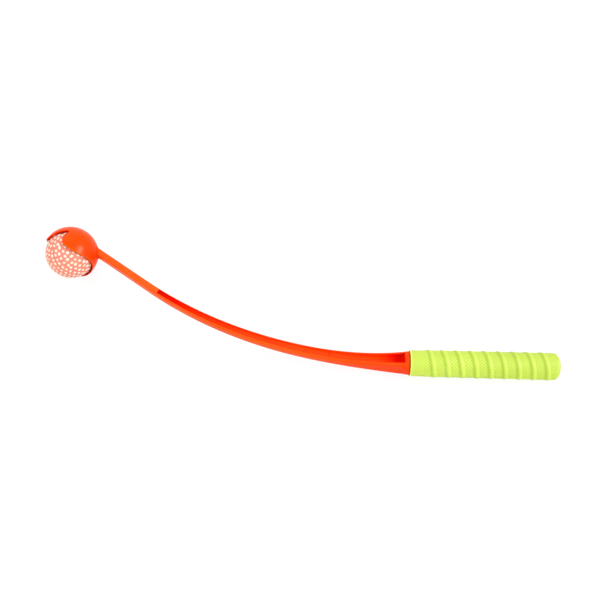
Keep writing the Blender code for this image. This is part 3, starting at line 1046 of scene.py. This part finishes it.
    def quarter(self, sizes: tuple[Floats, ...], flange: float, wall_tone: float) -> Floats:
        """A quarter of the section outlines, as height off the middle line and reach across.

        A rounded rectangle whose sides are sunk between two lips. Each lip is rounded and so is
        the foot of the wall below it. At a height h the side reaches half the width less the
        radius, plus the square root of the radius squared less the height above the straight
        part squared, less what the channel takes.

        Args:
            sizes: depths, widths, edge radii and channel depths, one for each station.
            flange: share of the depth that this flange takes.
            wall_tone: painted shade of its wall beside the web's.

        Returns:
            Array of shape stations x points x 3: height, reach and tone.
        """
        depth, width, radius, sunk = sizes
        half, core, flat = depth / 2.0, width / 2.0 - radius, width * 0.0
        lip = depth * (0.5 - flange)
        edge_end = np.maximum(half - radius, between(lip, half, self.edge_share))
        edge_turn = np.arcsin(np.clip((edge_end - half + radius) / radius, -1.0, 1.0))
        trio = [(half, flat, flat), (half, core * self.crown_share, flat)]
        for share in np.linspace(0.0, 1.0, self.edge_points):
            turn = between(math.pi / 2.0, edge_turn, share)
            trio.append((half - radius + radius * np.sin(turn), core + radius * np.cos(turn), flat))
        lip_round = np.minimum(self.lip_round, self.lip_share * (edge_end - lip))
        lip_round, foot_round = (np.minimum(size, sunk / 3.0) for size in (lip_round, self.foot_round))
        taken = []
        for behind, below in 1.0 - arc(0.0, 90.0, self.lip_points):
            taken.append((lip + lip_round * below, lip_round * behind, wall_tone * (1.0 - below)))
        for behind, below in 1.0 - arc(0.0, 90.0, self.foot_points):
            tone = between(1.0, wall_tone, below)
            taken.append((lip - foot_round * behind, sunk - foot_round * below, tone))
        for share in (0.75, 0.5, 0.25, 0.0):
            taken.append((share * (lip - foot_round), sunk, 1.0))
        for height, inset, tone in taken:
            above = np.clip(np.abs(height) - (half - radius), 0.0, None)
            reach = core + np.sqrt(np.clip(radius**2 - above**2, 0.0, None)) - inset
            trio.append((height, reach, tone + flat))
        return np.stack([np.stack(row, axis=-1) for row in trio], axis=1)

    def outline(self, *sizes: Floats) -> Floats:
        """Closed section outlines: a quarter for each flange, then the same mirrored across.

        Args:
            sizes: depths, widths, edge radii and channel depths, one for each station.

        Returns:
            Array of shape stations x around x 3: height, reach and tone.
        """
        hollow = self.quarter(sizes, self.hollow_flange, self.hollow_wall_tone)
        outer = self.quarter(sizes, self.outer_flange, self.outer_wall_tone) * np.array([-1.0, 1.0, 1.0])
        near = np.concatenate([hollow, outer[:, -2::-1]], axis=1)
        return np.concatenate([near, near[:, -2:0:-1] * np.array([1.0, -1.0, 1.0])], axis=1)

    def rings_at(self, distance: Floats, outline: Floats) -> Floats:
        """Outlines set square on the middle line at some distances."""
        place, heading = self.middle_line(distance)
        return place[:, None] + outline[..., :1] * unit(heading + 90.0)[:, None] + outline[..., 1:2] * ACROSS

    def root_rings(self) -> tuple[Floats, Floats]:
        """The neck's section wrapped on the cup's round back and flared by a round fillet.

        A ring stands off the sphere by s. It is widened all round by the fillet's radius less
        the square root of the radius squared less (radius - s) squared.

        Returns:
            The rings, and their painted shade: deepest half way down the fillet, on its outer side.
        """
        sizes = (np.array([value]) for value in (self.neck_depth, self.neck_width, self.edge_radius, 0.0))
        flat = self.outline(*sizes)[0, :, :2]
        share = np.concatenate([[-0.1], 1.0 - arc(0.0, 90.0, self.root_rows)[:, 0]])
        stand_off = self.root_fillet * share[:, None]
        rest = 1.0 - np.clip(stand_off / self.root_fillet, 0.0, 1.0)
        flare = self.root_fillet * (1.0 - np.sqrt(1.0 - rest**2))
        grown = flat * (1.0 + flare / np.hypot(flat[:, 0], flat[:, 1]))[..., None]
        height, reach = self.neck_offset + grown[..., 0], grown[..., 1]
        meets = np.sqrt(self.cup_radius**2 - height**2 - reach**2) + stand_off
        below = smooth_step(0.5 - flat[:, 0] / self.neck_depth)
        tone = self.root_tone * rest + self.root_shade * np.sin(math.pi * rest) * below
        axes = np.stack([unit(self.neck_heading), unit(self.neck_heading + 90.0), ACROSS])
        return np.stack([meets, height, reach], axis=-1) @ axes, tone

    def stations(self) -> Floats:
        """Distances of the sections: even on neck and bend, close at the channel's ends, the cross
        step and the collar.

        Returns:
            The distances along the middle line, in order.
        """
        slope = self.channel_end_slope * np.linspace(-0.3, 1.3, self.slope_rings)
        parts = [
            np.linspace(self.neck_start, self.neck_length, self.neck_rings),
            np.linspace(self.neck_length, self.shoulder_end, self.bend_rings),
            self.channel_start + slope,
            self.channel_end - slope,
            self.step_place + self.step_length * np.linspace(-1.4, 1.4, self.step_rings),
            np.linspace(self.shoulder_end, self.collar_end - self.collar_round, self.flare_rings),
        ]
        return np.unique(np.concatenate(parts).round(7))

    def surface(self) -> Surface:
        """The whole moulding behind the cup, closed inside the cup's wall and inside the grip.

        Returns:
            The closed surface, with its painted shade at each vertex.
        """
        distance = self.stations()
        depth, width, radius = self.section_size(distance)
        outline = self.outline(depth, width, radius, self.channel_depth(distance, width))
        root, root_tone = self.root_rings()
        cut = (distance >= self.channel_start) & (distance <= self.channel_end)
        # painted shade: growing towards the handle, more on the underside, and in the channels
        skin = smooth_step((distance - self.skin_start) / (self.shoulder_end - self.skin_start))
        down = -2.0 * outline[..., 0] / depth[:, None]
        under = self.under_tone * smooth_step((down - self.under_share) / (1.0 - self.under_share))
        tone = outline[..., 2] * (self.channel_tone(distance) * cut)[:, None]
        inward, short = 1.0 - arc(0.0, 90.0, self.collar_rings + 1)[1:].T
        past = self.collar_end - self.collar_round * short
        sizes = self.section_size(past)
        share = 1.0 - self.collar_round * inward / (sizes[0] / 2.0)
        face = self.outline(*sizes, past * 0.0) * share[:, None, None]
        core = np.array([self.collar_end, self.collar_end + self.core_length])
        size = np.full(2, 2.0 * self.core_radius)
        handle = self.outline(size, size, size / 2.0 * self.round_share, size * 0.0)
        pairs = ((distance, outline), (past, face), (core, handle))
        every = np.concatenate([root] + [self.rings_at(*pair) for pair in pairs])
        flat = np.zeros(every.shape[1])
        # painted shade on the collar's face by the grip
        collar = np.linspace(self.skin_tone, self.collar_tone, len(past))[:, None] + flat
        last = np.full(2, self.collar_tone)[:, None] + flat
        skin = self.skin_tone * skin[:, None] * (1.0 + under)
        tones = np.concatenate([root_tone, np.maximum(skin, tone), collar, last])
        return Surface.tube(every, every[0].mean(axis=0), every[-1].mean(axis=0), {"sunk": tones})


@dataclass
class GripSleeve:
    """The rubber sleeve: smooth cuff, one helical rib, diamond knurl between its turns, round butt.

    The fields that end in share paint shade and light into the colour: 0 is the darkest painted
    shade, in the knurl's hollows and beside the rib on its cuff side; 1 is the main colour, and a
    lighter band along the rib's top is a painted highlight.
    """

    length: float = 0.17695
    front_radius: float = 0.01524
    butt_radius: float = 0.01554
    bore_radius: float = 0.0121
    clearance: float = 0.0003
    lip_radius: float = 0.0012
    butt_wall: float = 0.0040
    butt_rounding: float = 0.0070
    butt_flat: float = 0.0050
    rib_height: float = 0.0011
    rib_width: float = 0.0088
    rib_pitch: float = 0.0166
    rib_phase: float = 0.0206
    rib_first: float = 0.0170
    rib_last: float = 0.0085
    rib_fade: float = 0.0050
    knurl_start: float = 0.0165
    knurl_start_fade: float = 0.0016
    knurl_end: float = 0.0008
    knurl_end_fade: float = 0.0030
    knurl_edge: float = 0.72
    knurl_height: float = 0.0005
    knurl_count: int = 26
    knurl_pitch: float = 0.0037
    # painted shade and highlight: a shaded band on the rib's cuff side, a lit band along its top, and the
    # shares of colour from painted shade to the main colour, the bore's included
    flank_place: float = -0.30
    flank_width: float = 0.34
    crest_place: float = 0.20
    crest_width: float = 0.16
    plain_share: float = 0.74
    groove_share: float = 0.36
    point_share: float = 0.90
    rib_share: float = 0.04
    crest_share: float = 0.12
    bore_share: float = 0.5
    gap_reach: float = 0.0009
    columns: int = 234
    rows: int = 390
    lip_rows: int = 7
    butt_rows: int = 23

    def profile(self) -> tuple[Floats, Floats]:
        """The plain outside: rounded lip, slight taper, elliptic butt.

        Returns:
            Distances from the front and radii, as columns.
        """
        straight = self.length - self.butt_rounding
        inward, behind = 1.0 - arc(90.0, 0.0, self.lip_rows + 1)[:-1].T
        body = np.linspace(self.lip_radius, straight, self.rows)
        cosine, sine = arc(0.0, 90.0, self.butt_rows + 1)[1:].T
        along = [self.lip_radius * behind, body, straight + self.butt_rounding * sine]
        taper = between(self.front_radius, self.butt_radius, body / straight)
        butt = between(self.butt_flat, self.butt_radius, cosine)
        radius = [self.front_radius - self.lip_radius * inward, taper, butt]
        return np.concatenate(along)[:, None], np.concatenate(radius)[:, None]

    def relief(self, along: Floats, turn: Floats) -> tuple[Floats, Floats]:
        """Height of rib and knurl over the plain outside, and a share of painted shade and light for colour.

        The rib is a squared cosine across its width, on a helix. The knurl is the product of two
        crossed waves, |cos((a + b) / 2) cos((a - b) / 2)|, and fades out on the rib, on the cuff
        and on the butt's flat. The share is painted shade and light: low in the knurl's grooves and
        along the rib's foot on its cuff side, a painted shadow away from the key lamp, and high, a
        painted highlight, on the knurl's points and along the top of the rib on its other side.

        Args:
            along: distances from the front, as a column.
            turn: angles round the axis, as a row, in radians.

        Returns:
            The height in metres and the relief share, each rows x columns.
        """
        middle = self.rib_phase + self.rib_pitch * turn / (2.0 * math.pi)
        apart = (along - middle + self.rib_pitch / 2.0) % self.rib_pitch - self.rib_pitch / 2.0
        across = np.clip(np.abs(apart) / (self.rib_width / 2.0), 0.0, 1.0)
        fade = smooth_step((along - self.rib_first) / self.rib_fade)
        fade = fade * smooth_step((self.length - self.rib_last - along) / self.rib_fade)
        rib = hump(across) * fade
        wave, round_wave = 2.0 * math.pi * along / self.knurl_pitch, self.knurl_count * turn
        diamond = np.abs(np.cos((wave + round_wave) / 2.0) * np.cos((wave - round_wave) / 2.0))
        clear = smooth_step((across - self.knurl_edge) / (1.0 - self.knurl_edge)) * fade + (1.0 - fade)
        clear = clear * smooth_step((along - self.knurl_start) / self.knurl_start_fade)
        clear = clear * smooth_step((self.length - self.knurl_end - along) / self.knurl_end_fade)
        # painted shadow on the rib's cuff side, away from the key lamp, and a painted highlight along its top
        flank_shadow = hump((apart / self.rib_width - self.flank_place) / self.flank_width) * fade
        crest_highlight = hump((apart / self.rib_width - self.crest_place) / self.crest_width) * fade
        share = self.plain_share + clear * (self.point_share * diamond - self.groove_share)
        share = share + self.rib_share * rib + self.crest_share * crest_highlight - self.groove_share * flank_shadow
        return self.rib_height * rib + self.knurl_height * diamond * clear, np.clip(share, 0.0, 1.0)

    def surface(self, start: Floats, heading: float) -> Surface:
        """The sleeve's skin, outside and bore.

        Args:
            start: the middle of its front face.
            heading: heading of its axis in the own frame.

        Returns:
            The closed surface, with at each vertex its relief share of painted shade and light, the
            painted shade inside the front lip and the painted highlight on the lip's round.
        """
        turn = np.linspace(0.0, 2.0 * math.pi, self.columns, endpoint=False)[None]
        along, radius = self.profile()
        height, share = self.relief(along, turn)
        end = self.length - self.butt_wall
        bore = np.array([end, 0.5 * self.length, 0.0])[:, None] + 0.0 * turn
        along = np.concatenate([bore, along + 0.0 * turn])
        radius = np.concatenate([bore * 0.0 + self.bore_radius, radius + height])
        share = np.concatenate([bore * 0.0 + self.bore_share, share])
        axis = unit(heading)
        spokes = np.cos(turn)[..., None] * unit(heading + 90.0) + np.sin(turn)[..., None] * ACROSS
        rings = start + along[..., None] * axis + radius[..., None] * spokes
        # painted shade inside the front lip, and a painted highlight on the lip's round
        gap_shade = smooth_step(1.0 - along / self.gap_reach) * (radius < self.front_radius)
        lip = smooth_step(along / self.gap_reach) * smooth_step(2.0 - along / self.lip_radius)
        values = {"relief": share, "gap_shade": gap_shade, "lip": lip * (radius > self.bore_radius)}
        return Surface.tube(rings, start + axis * end, start + axis * self.length, values)


@dataclass
class DottedBall:
    """The rubber ball: a plain sphere with irregular oval dots standing proud of it."""

    radius: float = 0.03158
    dot_height: float = 0.00039
    dot_count: int = 350
    dot_radius: float = 0.0020
    dot_spread: float = 0.16
    oval: float = 0.18
    oval_least: float = 0.2
    three_sided: float = 0.05
    three_sided_turn: float = 9.0
    jitter: float = 0.012
    edge: float = 0.55
    cells: int = 128
    neighbours: int = 3
    seed: int = 11

    def cube_sphere(self) -> tuple[Floats, Indices]:
        """Unit sphere from six square grids, each spaced by tangents so that cells stay even.

        Returns:
            Directions and quads, with the seams between the grids merged.
        """
        count = self.cells + 1
        step = np.tan(np.linspace(-math.pi / 4.0, math.pi / 4.0, count))
        wide, high = np.meshgrid(step, step, indexing="ij")
        number = np.arange(count * count).reshape(count, count)
        cell = [number[:-1, :-1], number[1:, :-1], number[1:, 1:], number[:-1, 1:]]
        cell = np.stack(cell, axis=-1).reshape(-1, 4)
        points, quads = [], []
        for axis in range(3):
            for sign in (1.0, -1.0):
                side = np.stack([sign * np.ones_like(wide), sign * wide, high], axis=-1).reshape(-1, 3)
                points.append(np.roll(side, axis, axis=1))
                quads.append(cell + len(quads) * count * count)
        every = normalised(np.concatenate(points))
        _, first, back = np.unique(every.round(7), axis=0, return_index=True, return_inverse=True)
        return every[first], back.ravel()[np.concatenate(quads)]

    def dots(self) -> tuple[Floats, Floats, Floats, Floats, Floats]:
        """Draws the dots: middles on a golden-angle spiral, shaken, and seeded shapes.

        Returns:
            Middles, long directions, sizes, ovalness and tone.
        """
        chance = np.random.default_rng(self.seed)
        number = np.arange(self.dot_count) + 0.5
        height = 1.0 - 2.0 * number / self.dot_count
        turn = number * math.pi * (3.0 - math.sqrt(5.0))
        reach = np.sqrt(1.0 - height**2)
        middle = np.stack([reach * np.cos(turn), reach * np.sin(turn), height], axis=1)
        middle = normalised(middle + chance.normal(0.0, self.jitter, middle.shape))
        long = chance.normal(0.0, 1.0, middle.shape)
        long = normalised(long - middle * np.einsum("ij,ij->i", long, middle)[:, None])
        size = self.dot_radius * (1.0 + self.dot_spread * chance.uniform(-1.0, 1.0, self.dot_count))
        oval = self.oval * chance.uniform(self.oval_least, 1.0, self.dot_count)
        return middle, long, size, oval, chance.uniform(0.0, 1.0, self.dot_count)

    def surface(self) -> Surface:
        """The dotted skin.

        A vertex's reach into a dot is 1 less its distance from the dot's middle over the dot's
        radius in that direction. The radius is an oval with a small three-sided wave. The dot
        rises as 1 less (1 - reach / edge) squared.

        Returns:
            The closed surface, with its reach into a dot and the dot's tone at each vertex.
        """
        direction, quads = self.cube_sphere()
        middle, long, size, oval, tone = self.dots()
        cross = np.cross(middle, long)
        nearest = np.argpartition(-(direction @ middle.T), self.neighbours, axis=1)
        best, warmth = np.full(len(direction), -2.0), np.zeros(len(direction))
        for dot in nearest[:, : self.neighbours].T:
            across = np.einsum("ij,ij->i", direction, long[dot])
            beside = np.einsum("ij,ij->i", direction, cross[dot])
            turn = np.arctan2(beside, across)
            wave = self.three_sided * np.cos(3.0 * turn + self.three_sided_turn * tone[dot])
            bound = size[dot] * (1.0 + oval[dot] * np.cos(2.0 * turn) + wave)
            reach = 1.0 - np.hypot(across, beside) * self.radius / bound
            warmth = np.where(reach > best, tone[dot], warmth)
            best = np.maximum(best, reach)
        rise = 1.0 - (1.0 - np.clip(best / self.edge, 0.0, 1.0)) ** 2
        points = direction * (self.radius + self.dot_height * rise)[:, None]
        return Surface(points, quads, np.zeros((0, 3), np.int64), {"dot_reach": best, "dot_tone": warmth})


@dataclass(frozen=True)
class Lamp:
    """A broad distant lamp.

    Args:
        name: the lamp's name.
        way: direction towards it, as shares of the camera's right, up and back.
        power: strength of the light.
        spread: how wide the lamp looks.
        glint: whether it only makes highlights.
    """

    name: str
    way: Triple
    power: float
    spread: float
    glint: bool = False

    def add(self, turn: Floats) -> None:
        """Puts the lamp into the scene.

        Args:
            turn: the camera's right, up and back directions, as columns.
        """
        lamp = link(bpy.data.objects.new(self.name, bpy.data.lights.new(self.name, "SUN")))
        lamp.data.energy = self.power
        lamp.data.angle = math.radians(self.spread)
        lamp.visible_diffuse = not self.glint
        lamp.rotation_mode = "QUATERNION"
        lamp.rotation_quaternion = Vector(turn @ np.array(self.way)).to_track_quat("Z", "Y")


@dataclass
class Studio:
    """Camera, floor, lamps and surroundings."""

    target: Triple = (0.2984, -0.0724, 0.0)
    distance: float = 0.938
    tilt: float = 33.0
    lens: float = 45.0
    sensor: float = 36.0
    floor_half: float = 6.0
    floor_drop: float = 0.00005
    floor_share: float = 0.18
    floor_glow: float = 0.87
    floor_noise: float = 3.0
    floor_roughness: float = 0.9
    sky_low: float = 1.0
    sky_high: float = 0.22
    lamps: tuple[Lamp, ...] = (
        Lamp("key", way=(0.81, 0.28, 0.515), power=1.2, spread=28.0),
        Lamp("glint", way=(0.81, 0.28, 0.515), power=4.6, spread=14.0, glint=True),
        Lamp("back", way=(-0.165, 0.905, 0.40), power=0.75, spread=40.0),
        Lamp("fill", way=(-0.38, 0.08, 0.90), power=0.85, spread=60.0),
    )

    def turn(self, rest: RestFrame) -> Floats:
        """The camera's right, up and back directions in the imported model's frame, as columns."""
        cosine, sine = arc(self.tilt, self.tilt, 1)[0]
        return rest.turn @ np.array([[1.0, 0.0, 0.0], [0.0, cosine, -sine], [0.0, sine, cosine]])

    def add_camera(self, rest: RestFrame) -> None:
        """Sets the camera where the photograph was taken from.

        Args:
            rest: the thrower's frame.
        """
        camera = link(bpy.data.objects.new("camera", bpy.data.cameras.new("camera")))
        camera.data.lens = self.lens
        camera.data.sensor_width = self.sensor
        turn = self.turn(rest)
        place = rest.place(np.array(self.target)) + self.distance * turn[:, 2]
        camera.matrix_world = Matrix.Translation(place) @ Matrix(turn.tolist()).to_4x4()
        bpy.context.scene.camera = camera

    def add_floor(self) -> None:
        """A white floor that keeps the shadow; part of its white is its own glow to the camera."""
        half, low = self.floor_half, -self.floor_drop
        corners = [(-half, -half, low), (half, -half, low), (half, half, low), (-half, half, low)]
        mesh = bpy.data.meshes.new("floor")
        mesh.from_pydata(corners, [], [(0, 1, 2, 3)])
        floor = link(bpy.data.objects.new("floor", mesh))
        material, sketch, shader = new_material("pale_floor")
        path = sketch.add("ShaderNodeLightPath").outputs
        seen = sketch.maths("MAXIMUM", path["Is Camera Ray"], path["Is Glossy Ray"])
        seen = sketch.maths("MAXIMUM", seen, path["Is Transmission Ray"])
        noise = sketch.spread(sketch.noise(Scale=self.floor_noise), 0.3, 0.7)
        pale = sketch.blend(noise, (0.83, 0.83, 0.83), (0.85, 0.85, 0.85))
        looks = {
            "Base Color": sketch.blend(seen, pale, (self.floor_share,) * 3),
            "Emission Strength": sketch.maths("MULTIPLY", seen, self.floor_glow),
            "Emission Color": (1.0, 1.0, 1.0, 1.0),
            "Roughness": self.floor_roughness,
            "Specular IOR Level": 0.0,
        }
        sketch.feed(shader, looks)
        mesh.materials.append(material)
        floor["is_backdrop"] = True

    def add_surroundings(self) -> None:
        """White walls that darken overhead, as under a studio ceiling; white to the camera."""
        world = bpy.data.worlds.new("studio")
        world.use_nodes = True
        sketch = NodeSketch(world.node_tree)
        place = sketch.add("ShaderNodeTexCoord").outputs["Generated"]
        height = sketch.add("ShaderNodeSeparateXYZ", {0: place}).outputs["Z"]
        strength = sketch.spread(height, 0.25, 0.9, self.sky_low, self.sky_high)
        camera = sketch.add("ShaderNodeLightPath").outputs["Is Camera Ray"]
        looks = {"Strength": sketch.maths("MAXIMUM", strength, camera), "Color": (1.0, 1.0, 1.0, 1.0)}
        sketch.feed(world.node_tree.nodes["Background"], looks)
        bpy.context.scene.world = world

    def build(self, rest: RestFrame) -> None:
        """Sets up the whole studio around the thrower.

        Args:
            rest: the thrower's frame.
        """
        self.add_camera(rest)
        self.add_floor()
        self.add_surroundings()
        for lamp in self.lamps:
            lamp.add(self.turn(rest))
        bpy.context.scene.view_settings.view_transform = "Standard"


def dress(item: bpy.types.Object, material: bpy.types.Material, body: Body, slot: Slot, *nodes: str) -> None:
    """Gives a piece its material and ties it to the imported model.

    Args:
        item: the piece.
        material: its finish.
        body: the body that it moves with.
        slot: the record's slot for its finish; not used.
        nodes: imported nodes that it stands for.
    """
    item.data.materials.append(material)
    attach(item, body.value)
    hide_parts(*nodes)
    faces = len(item.data.polygons)
    log.info("%s: %d faces, rides on %s, stands for %s", item.name, faces, body.value, ", ".join(nodes))


ORANGE = MouldedPlastic(
    name="orange_plastic",
    colour=(1.0, 0.106, 0.003),
    rubbed=(1.0, 0.16, 0.03),
    roughness=0.30,
    rubbed_roughness=0.50,
    grain_depth=0.00002,
    grain_pitch=1100.0,
    wear=0.25,
    sheen=0.14,
    ior=1.49,
)
LIME = GripRubber(
    name="lime_rubber",
    colour=(0.785, 0.965, 0.13),
    rubbed=(0.78, 0.95, 0.30),
    roughness=0.55,
    rubbed_roughness=0.7,
    grain_depth=0.00003,
    grain_pitch=1500.0,
    wear=0.2,
    sheen=0.3,
    ior=1.42,
)
CORAL = DottedRubber(
    name="coral_rubber",
    colour=(0.96, 0.28, 0.19),
    rubbed=(0.92, 0.35, 0.25),
    roughness=0.5,
    rubbed_roughness=0.62,
    grain_depth=0.00003,
    grain_pitch=1400.0,
    wear=0.15,
    sheen=0.35,
    ior=1.45,
)


def write_sizes() -> None:
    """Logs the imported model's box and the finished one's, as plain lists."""
    boxes = {"cad_box": cad_box, "visual_box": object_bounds()}
    for name, (low, high) in boxes.items():
        log.info("%s: %s to %s", name, [round(v, 5) for v in low], [round(v, 5) for v in high])


def main() -> None:
    """Builds the cup, the arm, the grip and the ball, then the studio."""
    logging.basicConfig(level=logging.INFO, format="%(name)s: %(message)s")
    cup, arm, grip, ball = BallCup(), BowedArm(), GripSleeve(), DottedBall()
    rest = RestFrame.found_in(frame, cup.pole_heading)
    grain, wear = MouldGrain(), HandlingWear()
    plastic = ORANGE.build(grain, wear)
    dress(cup.surface().to_object("ball_cup", rest), plastic, Body.THROWER, Slot.ARM, "throwing_arm")
    bowed = arm.surface().to_object("bowed_arm", rest)
    bowed.modifiers.new("even_shading", "WEIGHTED_NORMAL")
    dress(bowed, plastic, Body.THROWER, Slot.ARM, "throwing_arm")
    start, heading = arm.middle_line(np.array([arm.collar_end + grip.clearance]))
    sleeve = grip.surface(start[0], heading[0]).to_object("rubber_sleeve", rest)
    dress(sleeve, LIME.build(grain, wear), Body.THROWER, Slot.GRIP, "grip_sleeve")
    dotted = ball.surface().to_object("dotted_ball", rest)
    dress(dotted, CORAL.build(grain, wear), Body.BALL, Slot.BALL, "ball")
    Studio().build(rest)
    write_sizes()


if __name__ == "__main__":
    main()
